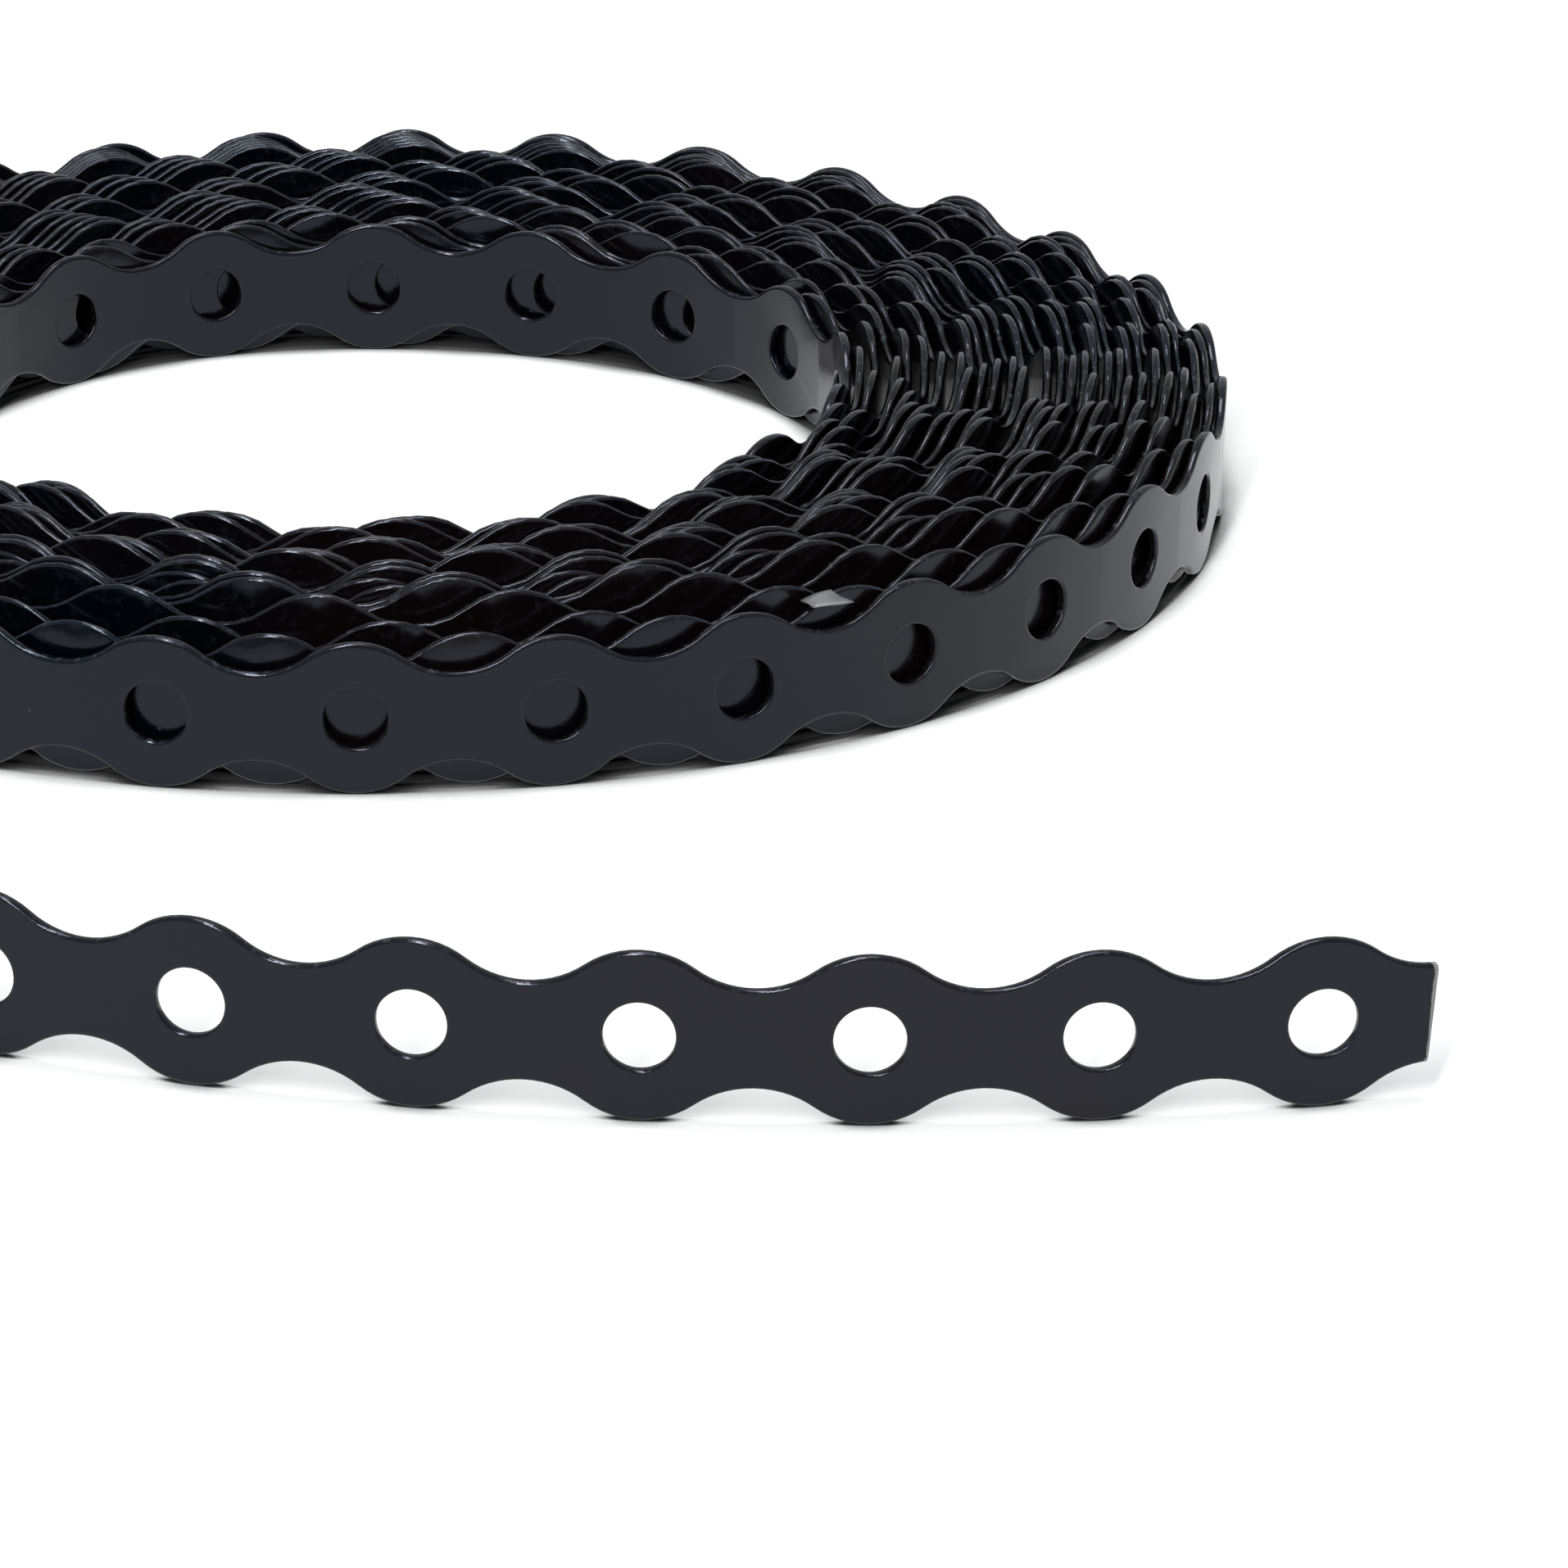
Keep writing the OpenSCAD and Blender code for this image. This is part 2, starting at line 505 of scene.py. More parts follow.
    def _loose(self, lengths: np.ndarray) -> tuple[np.ndarray, np.ndarray]:
        """Sprung end, as two arcs that run into each other.

        Args:
            lengths: Lengths along the strap, from its cut end.

        Returns:
            Places and outward directions, in the coil's own axes.
        """
        end_l = self.end_holes * self.sizes.pitch
        sweep = (self.loose_holes - self.end_holes) * self.sizes.pitch / self.sprung_radius
        in_end = lengths < end_l
        angle = np.where(in_end, sweep + (end_l - lengths) / self.end_radius,
                         sweep - (lengths - end_l) / self.sprung_radius)
        out = np.stack([np.cos(angle), np.sin(angle), np.zeros_like(angle)], 1)
        joint = np.array([math.cos(sweep), math.sin(sweep), 0])
        sprung_c = np.array([self.lift_radius - self.sprung_radius, 0, 0])
        end_c = sprung_c + (self.sprung_radius - self.end_radius) * joint
        place = np.where(in_end[:, None], end_c + self.end_radius * out, sprung_c + self.sprung_radius * out)
        return place + np.array([0, 0, self.sizes.width / 2]), out

    def _steps(self, rng: np.random.Generator) -> np.ndarray:
        """Radial steps from each turn to the next one inwards.

        Args:
            rng: Source of the uneven steps.

        Returns:
            The steps of each turn, at each key direction.
        """
        least, loose = self.least_step / MM, len(self.loose_steps)
        steps = rng.gamma(self.step_shape, 1.0, (self.started_turns, self.keys))
        steps = least + steps / steps.mean(0) * self.step_spare
        for a, (share, wall) in enumerate(zip(self.looseness, self.walls)):
            steps[:loose, a] = (1 - share) * steps[:loose, a] + share * np.array(self.loose_steps)
            spare = steps[loose:, a] - least
            room = wall - steps[:loose, a].sum() - least * len(spare)
            steps[loose:, a] = least + spare * room / spare.sum()
        return steps * MM

    def _smooth(self, values: np.ndarray, width: float) -> np.ndarray:
        """Evens out values along the turns.

        Args:
            values: Values at each fine station.
            width: Share of a turn over which they are evened out.

        Returns:
            The evened values.
        """
        reach = int(width * self.fineness)
        kernel = np.hanning(2 * reach + 3)[1:-1]
        padded = np.concatenate([np.full(reach, values[0]), values, np.full(reach, values[-1])])
        return np.convolve(padded, kernel / kernel.sum(), mode="valid")

    def _keyed(self, controls: np.ndarray, stations: np.ndarray) -> np.ndarray:
        """Smooth curve through values that are given at the key directions of each turn."""
        at = np.arange(controls.size) / self.keys
        return self._smooth(np.interp(stations, at, controls.ravel()), self.key_blur)

    def _radii(self, rng: np.random.Generator, stations: np.ndarray) -> np.ndarray:
        """Radius of the strap's middle line in the coil.

        Args:
            rng: Source of the uneven steps.
            stations: Number of turns at each fine station.

        Returns:
            The radius at each fine station.
        """
        whole = self.fineness
        outer = self.lift_radius - self.outer_step * np.arange(self.keys) / self.keys
        radii = np.concatenate([outer[None], outer[None] - np.cumsum(self._steps(rng), 0)])
        radius = self._keyed(radii, stations)
        radius[:whole] = self.lift_radius - self.outer_step * stations[:whole]
        for i in range(whole, len(radius), whole):
            outside = radius[i - whole:i][:len(radius) - i]
            radius[i:i + whole] = np.minimum(radius[i:i + whole], outside - self.least_step)
        radius[whole // 2:] = self._smooth(radius, self.radius_blur)[whole // 2:]
        return radius

    def _coil(self) -> tuple[np.ndarray, np.ndarray, np.ndarray, np.ndarray]:
        """Turns of the coil, outermost first.

        Returns:
            Length along the strap, place, outward direction and upward direction of each fine station.
        """
        rng = np.random.default_rng(self.seed)
        stations = np.arange(int(self.turns * self.fineness) + 1) / self.fineness
        radius = self._radii(rng, stations)
        height = self._keyed(self._heights(rng), stations)
        lean = np.radians(self._keyed(self._leans(rng), stations))[:, None]
        angle = -2 * math.pi * stations
        place = np.stack([radius * np.cos(angle), radius * np.sin(angle), self.sizes.width / 2 + height], 1)
        along = np.gradient(place[:, :2], axis=0)
        pace = np.hypot(along[:, 0], along[:, 1])
        out = np.stack([-along[:, 1] / pace, along[:, 0] / pace, np.zeros_like(pace)], 1)
        up = np.array([0.0, 0.0, 1.0])
        side = np.cos(lean) * out - np.sin(lean) * up
        rise = np.cos(lean) * up + np.sin(lean) * out
        steps_along = np.hypot(*np.diff(place[:, :2], axis=0).T)
        length = self.loose_holes * self.sizes.pitch + np.concatenate([[0], np.cumsum(steps_along)])
        return length + self._slips(rng, stations, length), place, side, rise

    def _heights(self, rng: np.random.Generator) -> np.ndarray:
        """How far each turn has ridden up off the floor.

        Args:
            rng: Source of the unevenness.

        Returns:
            The rise of each turn, at each key direction.
        """
        number = np.arange(self.started_turns + 1)
        rise = np.interp(number, *zip(*self.front_rises))
        first, last = self.level_turns
        uneven = rng.uniform(0.0, self.uneven_rise, (len(number), self.keys))
        uneven = uneven * ((number > first) & (number < last))[:, None]
        return (rise[:, None] + uneven * MM) * np.array(self.crown)

    def _leans(self, rng: np.random.Generator) -> np.ndarray:
        """Lean of each turn in degrees, at each key direction."""
        number = np.arange(self.started_turns + 1)
        return rng.uniform(-self.most_lean, self.most_lean, (len(number), self.keys)) * (number[:, None] > 0)

    def _turn_at(self, turn: int, angle: float) -> float:
        """Number of turns into the coil at a direction of one turn."""
        return turn + (self.lift_angle - angle) / 360 % 1

    def _about(self, turn: int) -> float:
        """Rough radius of a turn."""
        return self.lift_radius - self.walls[self.front_key] * MM * turn / self.turns

    def _front_crest(self, turn: int) -> float:
        """Crest of a wave at the front of a turn. The turns of a group lie crest behind crest.

        Args:
            turn: Number of the turn.

        Returns:
            The crest's direction.
        """
        if turn <= len(self.front_crests):
            return self.front_crests[turn - 1]
        across = [x for first, x in self.front_groups if first <= turn][-1]
        across += self.spread * math.sin(self.spread_beat * turn)
        return -math.degrees(math.acos((across - self.axis[0]) / self._about(turn)))

    def _back_crests(self, rng: np.random.Generator) -> list[float]:
        """Crests of a wave at the back of the turns.

        Args:
            rng: Source of the drift from turn to turn.

        Returns:
            The crests' directions, from turn 1 to the last one.
        """
        last = self.started_turns - 1
        given = {last: self.eye_crest, last - 1: self.inward_crest}
        apart, left, crests = 0.0, 0, []
        for turn in range(1, last + 1):
            if turn <= len(self.front_crests):
                apart -= self.loose_drift
            elif left == 0:
                apart, left = apart + rng.uniform(*self.group_jump), int(rng.integers(*self.group_turns))
            else:
                apart, left = apart - rng.uniform(*self.group_drift), left - 1
            crest = given.get(turn, self.back_crest + apart * self.drift_scale)
            while crest > self.last_back_crest:
                crest -= math.degrees(self.sizes.pitch / self._about(turn))
            crests.append(crest)
        return crests

    def _slips(self, rng: np.random.Generator, stations: np.ndarray, length: np.ndarray) -> np.ndarray:
        """How far the holes of each turn are shifted, so that the turns' waves lie as they do in the coil.

        Args:
            rng: Source of the shifts that aren't given.
            stations: Number of turns at each fine station.
            length: Length along the strap at each fine station.

        Returns:
            The shift at each fine station.
        """
        pitch, last = self.sizes.pitch, self.started_turns - 1
        knots, values = (list(part) for part in zip(*self.outer_slips))
        shift = 0.0
        for turn, back in enumerate(self._back_crests(rng), 1):
            marks = [(self._turn_at(turn, back), turn - self.back_settled)]
            if turn < last:
                front = self._turn_at(turn, self._front_crest(turn))
                marks.append((front, front))
            for crest, settle in marks:
                missing = pitch / 2 - np.interp(crest, stations, length) - shift
                new = shift + (missing + pitch / 2) % pitch - pitch / 2
                before = knots[-1]
                for t in np.linspace(1 / self.ease_steps, 1, self.ease_steps):
                    knots.append(before + (settle - before) * t)
                    values.append(shift + (new - shift) * t * t * (3 - 2 * t))
                shift = new
                knots.append(max(crest, settle) + self.hold)
                values.append(shift)
            knots.append(turn + self.front_end)
            values.append(shift)
        return np.interp(stations, knots, values)


class NodeBench:
    """Small helper that adds nodes to a tree and links them."""

    def __init__(self, tree: bpy.types.NodeTree) -> None:
        """Keeps the tree that is worked on."""
        self.tree = tree

    def add(self, kind: str, inputs: dict[str | int, object] | None = None,
            **settings: object) -> bpy.types.Node:
        """Adds a node.

        Args:
            kind: Blender's name for the type of node.
            inputs: Values or sockets for the node's inputs, by name or number.
            settings: The node's own settings.

        Returns:
            The new node.
        """
        node = self.tree.nodes.new(kind)
        for name, value in settings.items():
            setattr(node, name, value)
        for key, value in (inputs or {}).items():
            self.feed(node, key, value)
        return node

    def feed(self, node: bpy.types.Node, key: str | int, value: object) -> None:
        """Sets or links one input of a node.

        Args:
            node: The node.
            key: Name or number of the input.
            value: Its value, or the socket that feeds it.
        """
        if isinstance(key, int):
            socket = node.inputs[key]
        else:
            socket = next(s for s in node.inputs if s.name == key and s.enabled)
        if isinstance(value, Link):
            self.tree.links.new(value, socket)
        else:
            socket.default_value = value

    def math(self, operation: str, *inputs: Given, clamp: bool = False) -> Link:
        """Adds a Math node and gives its result."""
        node = self.add("ShaderNodeMath", dict(enumerate(inputs)), operation=operation, use_clamp=clamp)
        return node.outputs[0]

    def ramp(self, value: Given, slope: tuple[float, float]) -> Link:
        """Multiplies a value, adds to it, and keeps it between 0 and 1."""
        return self.math("MULTIPLY_ADD", value, *slope, clamp=True)

    def vector(self, operation: str, *inputs: Given) -> Link:
        """Adds a Vector Math node and gives its vector."""
        return self.add("ShaderNodeVectorMath", dict(enumerate(inputs)), operation=operation).outputs[0]

    def blend(self, share: Given, a: Link | Colour, b: Link | Colour) -> Link:
        """Adds a colour Mix node and gives its colour."""
        a, b = (x if isinstance(x, Link) else (*x, 1) for x in (a, b))
        return self.add("ShaderNodeMix", {0: share, 6: a, 7: b}, data_type="RGBA").outputs[2]


class WindingTree:
    """Geometry Nodes tree that repeats a flat tile and winds the row along a sampled path."""

    SOCKETS = {"Path": "Geometry", "Tile": "Object", "Periods": "Int", "Pitch": "Float", "Step": "Float",
               "Finish": "Material"}
    # Points of neighbouring tiles that lie closer than this are one
    JOIN = 4e-6

    def __init__(self) -> None:
        """Builds the tree once."""
        self.tree = bpy.data.node_groups.new("strap_winding", "GeometryNodeTree")
        self._build()

    def _build(self) -> None:
        """Adds the sockets and nodes."""
        face, bench = self.tree.interface, NodeBench(self.tree)
        for name, kind in self.SOCKETS.items():
            face.new_socket(name, in_out="INPUT", socket_type=f"NodeSocket{kind}")
        face.new_socket("Strap", in_out="OUTPUT", socket_type="NodeSocketGeometry")
        given = bench.add("NodeGroupInput").outputs
        half = bench.math("MULTIPLY", given["Pitch"], 0.5)
        row = bench.add("GeometryNodeMeshLine", {
            "Count": given["Periods"],
            "Start Location": bench.add("ShaderNodeCombineXYZ", {"X": half}).outputs[0],
            "Offset": bench.add("ShaderNodeCombineXYZ", {"X": given["Pitch"]}).outputs[0]}, mode="OFFSET")
        tile = bench.add("GeometryNodeObjectInfo", {"Object": given["Tile"]}).outputs["Geometry"]
        laid = bench.add("GeometryNodeInstanceOnPoints", {"Points": row.outputs[0], "Instance": tile})
        loose = bench.add("GeometryNodeRealizeInstances", {"Geometry": laid.outputs[0]})
        flat = bench.add("GeometryNodeMergeByDistance", {"Geometry": loose.outputs[0], "Distance": self.JOIN})
        place = bench.add("GeometryNodeInputPosition").outputs[0]
        marked = bench.add("GeometryNodeStoreNamedAttribute", {
            "Geometry": flat.outputs[0], "Name": MeshMark.FLAT_PLACE.value, "Value": place},
            data_type="FLOAT_VECTOR", domain="POINT")
        parts = bench.add("ShaderNodeSeparateXYZ", {0: place}).outputs
        at = bench.math("DIVIDE", parts["X"], given["Step"])
        low = bench.math("FLOOR", at)
        share = bench.math("SUBTRACT", at, low)
        middle, out, up = (self._along(bench, given["Path"], value, low, share) for value in (
            place, self._named(bench, "side"), self._named(bench, "up")))
        wound = bench.vector("MULTIPLY_ADD", out, parts["Y"], middle)
        wound = bench.vector("MULTIPLY_ADD", up, parts["Z"], wound)
        bent = bench.add("GeometryNodeSetPosition", {"Geometry": marked.outputs[0], "Position": wound})
        solid = bench.add("GeometryNodeRealizeInstances", {"Geometry": bent.outputs[0]})
        dressed = bench.add("GeometryNodeSetMaterial", {
            "Geometry": solid.outputs[0], "Material": given["Finish"]})
        bench.add("NodeGroupOutput", {0: dressed.outputs[0]})

    @staticmethod
    def _named(bench: NodeBench, name: str) -> Link:
        """Vector attribute of the path."""
        node = bench.add("GeometryNodeInputNamedAttribute", {"Name": name}, data_type="FLOAT_VECTOR")
        return next(s for s in node.outputs if s.name == "Attribute" and s.enabled)

    @staticmethod
    def _along(bench: NodeBench, path: Link, value: Link, low: Link, share: Link) -> Link:
        """Value of the path between two of its stations.

        Args:
            bench: Helper for the tree.
            path: The path's geometry.
            value: The value to read.
            low: Number of the station before.
            share: Share of the way to the next station.

        Returns:
            The value there.
        """
        ends = []
        for number in (low, bench.math("ADD", low, 1.0)):
            node = bench.add("GeometryNodeSampleIndex", {"Geometry": path, "Value": value, "Index": number},
                             data_type="FLOAT_VECTOR", domain="POINT", clamp=True)
            ends.append(next(s for s in node.outputs if s.enabled))
        return bench.vector("MULTIPLY_ADD", bench.vector("SUBTRACT", ends[1], ends[0]), share, ends[0])

    def wind(self, name: str, path: PathSamples, tile: bpy.types.Object, pitch: float,
             finish: bpy.types.Material) -> bpy.types.Object:
        """Winds a row of tiles along a path, and makes the result a plain mesh.

        Args:
            name: Name of the piece.
            path: The stations that the row follows.
            tile: The flat tile.
            pitch: Length of a tile.
            finish: The material.

        Returns:
            The piece, at the origin.
        """
        line = bpy.data.meshes.new(f"{name}_path")
        line.from_pydata(path.place.tolist(), [], [])
        for key, vectors in (("side", path.side), ("up", path.up)):
            attribute = line.attributes.new(key, "FLOAT_VECTOR", "POINT")
            attribute.data.foreach_set("vector", vectors.astype(np.float32).ravel())
        carrier = put(f"{name}_path", line)
        modifier = carrier.modifiers.new("winding", "NODES")
        modifier.node_group = self.tree
        values = {"Tile": tile, "Periods": path.periods, "Pitch": pitch, "Step": pitch / path.per_period,
                  "Finish": finish}
        for item in self.tree.interface.items_tree:
            if item.item_type == "SOCKET" and item.in_out == "INPUT" and item.name in values:
                modifier[item.identifier] = values[item.name]
        mesh = settled(carrier)
        carrier.modifiers.remove(modifier)
        bpy.data.objects.remove(carrier)
        bpy.data.meshes.remove(line)
        mesh.name = name
        return put(name, mesh)


class MaterialStart(NamedTuple):
    """New material, with a helper for its tree, its shader and the node of the grain group."""

    material: bpy.types.Material
    bench: NodeBench
    shader: bpy.types.Node
    group: bpy.types.Node


class GrainGroup:
    """Shader node group for the fine unevenness of a surface."""

    SCALES = {"Cloud Scale": 60.0, "Grain Scale": 1500.0, "Speck Scale": 420.0, "Speck Size": 0.1}
    # Share of the cells that hold no speck
    SPECKLESS = 0.93

    def __init__(self) -> None:
        """Builds the group once."""
        self.tree = bpy.data.node_groups.new("metal_grain", "ShaderNodeTree")
        self._build()

    def _build(self) -> None:
        """Adds the sockets and nodes."""
        face, bench = self.tree.interface, NodeBench(self.tree)
        face.new_socket("Place", in_out="INPUT", socket_type="NodeSocketVector")
        for name, value in self.SCALES.items():
            face.new_socket(name, in_out="INPUT", socket_type="NodeSocketFloat").default_value = value
        for name in ("Clouds", "Grain", "Specks"):
            face.new_socket(name, in_out="OUTPUT", socket_type="NodeSocketFloat")
        given = bench.add("NodeGroupInput").outputs
        clouds = bench.add("ShaderNodeTexNoise", {
            "Vector": given["Place"], "Scale": given["Cloud Scale"], "Detail": 4.0, "Roughness": 0.55})
        grain = bench.add("ShaderNodeTexNoise", {
            "Vector": given["Place"], "Scale": given["Grain Scale"], "Detail": 2.0, "Roughness": 0.5})
        cells = bench.add("ShaderNodeTexVoronoi", {"Vector": given["Place"], "Scale": given["Speck Scale"]})
        chance = bench.add("ShaderNodeSeparateColor", {0: cells.outputs["Color"]})
        rare = bench.math("GREATER_THAN", chance.outputs[0], self.SPECKLESS)
        near = bench.math("LESS_THAN", cells.outputs["Distance"], given["Speck Size"])
        bench.add("NodeGroupOutput", {
            "Clouds": clouds.outputs[0], "Grain": grain.outputs[0],
            "Specks": bench.math("MULTIPLY", rare, near)})

    def dress(self, name: str, scales: dict[str, float]) -> MaterialStart:
        """Starts a material that holds the group.

        Args:
            name: Name of the material.
            scales: The group's scales and sizes, by the names of its inputs.

        Returns:
            The material, a helper for its tree, its shader and the group's node.
        """
        material = bpy.data.materials.new(name)
        material.use_nodes = True
        bench = NodeBench(material.node_tree)
        place = bench.add("ShaderNodeTexCoord").outputs["Object"]
        group = bench.add("ShaderNodeGroup", {"Place": place, **scales}, node_tree=self.tree)
        return MaterialStart(material, bench, material.node_tree.nodes["Principled BSDF"], group)


@dataclass(frozen=True)
class CoatingFinish:
    """Smooth black coating, a little uneven, with wear and a painted sheen along its edges."""

    grain: GrainGroup
    cool: Colour = (0.0003, 0.0014, 0.0034)
    warm: Colour = (0.0040, 0.0021, 0.0023)
    # Lighter bluish grey of the dashes along the edges: partly edge wear, partly a painted highlight in place
    # of glints
    wear_and_sheen: Colour = (0.044, 0.050, 0.059)
    speck: Colour = (0.05, 0.05, 0.05)
    bared: Colour = (0.26, 0.255, 0.25)
    gloss_tint: Colour = (0.73, 0.79, 0.95)
    cloud_scale: float = 24.0
    grain_scale: float = 1500.0
    speck_scale: float = 420.0
    speck_size: float = 0.045
    # Slopes give what a value is multiplied by, and what is then added to it
    tint_slope: tuple[float, float] = (4.5, -1.75)
    wear_and_sheen_slope: tuple[float, float] = (5.0, -2.9)
    wear_and_sheen_power: float = 2.0
    fray: float = 0.5
    fray_slope: tuple[float, float] = (5.0, -2.2)
    cloud_rough: tuple[float, float] = (0.08, 0.09)
    grain_rough: float = 0.06
    bump_slope: tuple[float, float] = (0.9, 0.1)
    bump_strength: float = 0.5
    bump_depth: float = 0.05 * MM
    ior: float = 1.43

    def material(self) -> bpy.types.Material:
        """Makes the material.

        Returns:
            The material.
        """
        material, bench, shader, group = self.grain.dress("black_coating", {
            "Cloud Scale": self.cloud_scale, "Grain Scale": self.grain_scale,
            "Speck Scale": self.speck_scale, "Speck Size": self.speck_size})
        clouds, grain, specks = (group.outputs[name] for name in ("Clouds", "Grain", "Specks"))
        edge, cut = (bench.add("ShaderNodeAttribute", attribute_name=mark.value).outputs["Fac"]
                     for mark in (MeshMark.EDGE, MeshMark.CUT))
        # Painted edge highlight mixed with wear: lighter dashes near the edges where the grain is high
        wear_and_sheen_mask = bench.ramp(grain, self.wear_and_sheen_slope)
        wear_and_sheen_mask = bench.math("MULTIPLY", bench.math("POWER", edge, self.wear_and_sheen_power), wear_and_sheen_mask, clamp=True)
        frayed = bench.math("MULTIPLY_ADD", grain, self.fray, bench.math("SUBTRACT", cut, self.fray / 2))
        colour = bench.blend(bench.ramp(clouds, self.tint_slope), self.cool, self.warm)
        colour = bench.blend(wear_and_sheen_mask, colour, self.wear_and_sheen)
        colour = bench.blend(specks, colour, self.speck)
        colour = bench.blend(bench.ramp(frayed, self.fray_slope), colour, self.bared)
        rough = bench.math("MULTIPLY_ADD", clouds, *self.cloud_rough)
        rough = bench.math("MULTIPLY_ADD", grain, self.grain_rough, rough)
        height = bench.math("MULTIPLY", grain, bench.math("MULTIPLY_ADD", edge, *self.bump_slope))
        bump = bench.add("ShaderNodeBump", {
            "Strength": self.bump_strength, "Distance": self.bump_depth, "Height": height})
        bench.feed(shader, "Base Color", colour)
        bench.feed(shader, "Roughness", rough)
        bench.feed(shader, "Normal", bump.outputs[0])
        bench.feed(shader, "IOR", self.ior)
        bench.feed(shader, "Specular Tint", (*self.gloss_tint, 1))
        return material


@dataclass(frozen=True)
class BareSteelFinish:
    """Sheared steel at the cut ends."""

    grain: GrainGroup
    bright: Colour = (0.22, 0.215, 0.21)
    dull: Colour = (0.05, 0.05, 0.052)
    cloud_scale: float = 900.0
    grain_scale: float = 4000.0
    dull_slope: tuple[float, float] = (3.0, -1.0)
    rough_slope: tuple[float, float] = (0.25, 0.3)
    metallic: float = 0.6

    def material(self) -> bpy.types.Material:
        """Makes the material.

        Returns:
            The material.
        """
        material, bench, shader, group = self.grain.dress("sheared_steel", {
            "Cloud Scale": self.cloud_scale, "Grain Scale": self.grain_scale})
        share = bench.ramp(group.outputs["Clouds"], self.dull_slope)
        bench.feed(shader, "Base Color", bench.blend(share, self.dull, self.bright))
        rough = bench.math("MULTIPLY_ADD", group.outputs["Grain"], *self.rough_slope)
        bench.feed(shader, "Roughness", rough)
        bench.feed(shader, "Metallic", self.metallic)
        return material


@dataclass
class StrapCoil:
    """The strap, in stretches: the turns that show their faces, and those that show only their edges.

    The places where one stretch gives way to the next are in turns from where the strap leaves the coil.
    """

    grain: GrainGroup
    sizes: StrapSizes = StrapSizes()
    outer_fine: float = 0.82
    outer_medium: float = 1.82
    inner_medium: float = 25.5
    inner_fine: float = 26.5
    cut_ragged: float = 0.05 * MM
    cut_slant: float = 0.06
    cut_reach: float = 1e-5
    seed: int = 7

    def build(self) -> list[bpy.types.Object]:
        """Builds and dresses the strap.

        Returns:
            Its pieces.
        """
        coating = CoatingFinish(self.grain).material()
        steel = BareSteelFinish(self.grain).material()
        path = WoundPath(self.sizes)
        samples = path.samples()
        tree = WindingTree()
        tiles = {detail: StrapTile(self.sizes, detail).build() for detail in TileDetail}
        ends = (self.outer_fine, self.outer_medium, self.inner_medium, self.inner_fine)
        cuts = [0, *(self._period_at(samples, path, turn) for turn in ends), samples.periods]
        plan = (("strap_outer_turn", TileDetail.FINE), ("strap_second_turn", TileDetail.MEDIUM),
                ("strap_middle_turns", TileDetail.PLAIN), ("strap_inward_turn", TileDetail.MEDIUM),
                ("strap_eye_turn", TileDetail.FINE))
        pieces = []
        for (name, detail), first, last in zip(plan, cuts, cuts[1:]):
            piece = tree.wind(name, samples.stretch(first, last), tiles[detail], self.sizes.pitch, coating)
            piece.data.materials.append(steel)
            self._close(piece, (last - first) * self.sizes.pitch, first == 0, last == samples.periods)
            if detail is not TileDetail.FINE:
                self._level_shading(piece)
            triangles = sum(len(p.vertices) - 2 for p in piece.data.polygons)
            LOG.info("%s: periods %d to %d, %d triangles", name, first, last, triangles)
            pieces.append(piece)
        for tile in tiles.values():
            mesh = tile.data
            bpy.data.objects.remove(tile)
            bpy.data.meshes.remove(mesh)
        return pieces

    @staticmethod
    def _period_at(samples: PathSamples, path: WoundPath, turn: float) -> int:
        """Whole period of the strap that is nearest to a place in the coil.

        Args:
            samples: Stations along the strap.
            path: The line that the strap follows.
            turn: Number of turns into the coil.

        Returns:
            Number of the period, from the cut end.
        """
        flat = samples.place[path.loose_holes * samples.per_period:, :2] - np.array(path.axis)
        angle = np.unwrap(np.arctan2(flat[:, 1], flat[:, 0]))
        wound = (angle[0] - angle) / (2 * math.pi)
        return path.loose_holes + int(round(np.searchsorted(wound, turn) / samples.per_period))

    def _close(self, piece: bpy.types.Object, length: float, cut_first: bool, cut_last: bool) -> None:
        """Closes the ends of a piece, and roughens the ends that were sheared.

        Args:
            piece: The piece.
            length: Length of its row of tiles.
            cut_first: Whether its first end was sheared.
            cut_last: Whether its last end was sheared.
        """
        rng = np.random.default_rng(self.seed)
        mesh = bmesh.new()
        mesh.from_mesh(piece.data)
        bared = mesh.verts.layers.float.new(MeshMark.CUT.value)
        place = mesh.verts.layers.float_vector[MeshMark.FLAT_PLACE.value]
        open_edges = [e for e in mesh.edges if e.is_boundary]
        ends = {v for e in open_edges for v in e.verts}
        sheared = [v for v in mesh.verts if v in ends and (
            (cut_first and v[place].x < self.cut_reach)
            or (cut_last and v[place].x > length - self.cut_reach))]
        for edge in open_edges:
            edge.smooth = False
        for cap in bmesh.ops.holes_fill(mesh, edges=open_edges, sides=0)["faces"]:
            cap.smooth = False
            if cap.verts[0] in sheared or cap.verts[1] in sheared:
                cap.material_index = 1
        for vert in sheared:
            vert[bared] = 1.0
            others = [e.other_vert(vert).co for e in vert.link_edges if e.other_vert(vert) not in ends]
            if others:
                along = (vert.co - sum(others, Vector()) / len(others)).normalized()
                vert.co += along * (rng.uniform(-1, 1) * self.cut_ragged + vert[place].z * self.cut_slant)
        bmesh.ops.recalc_face_normals(mesh, faces=mesh.faces)
        mesh.to_mesh(piece.data)
        mesh.free()

    @staticmethod
    def _level_shading(piece: bpy.types.Object) -> None:
        """Lets the broad faces set the shading, so that only the rounded edges look round.

        Args:
            piece: The piece, which gets a new mesh.
        """
        modifier = piece.modifiers.new("flat_faces", "WEIGHTED_NORMAL")
        modifier.keep_sharp = True
        rough, name = piece.data, piece.data.name
        piece.data = settled(piece)
        piece.modifiers.remove(modifier)
        bpy.data.meshes.remove(rough)
        piece.data.name = name


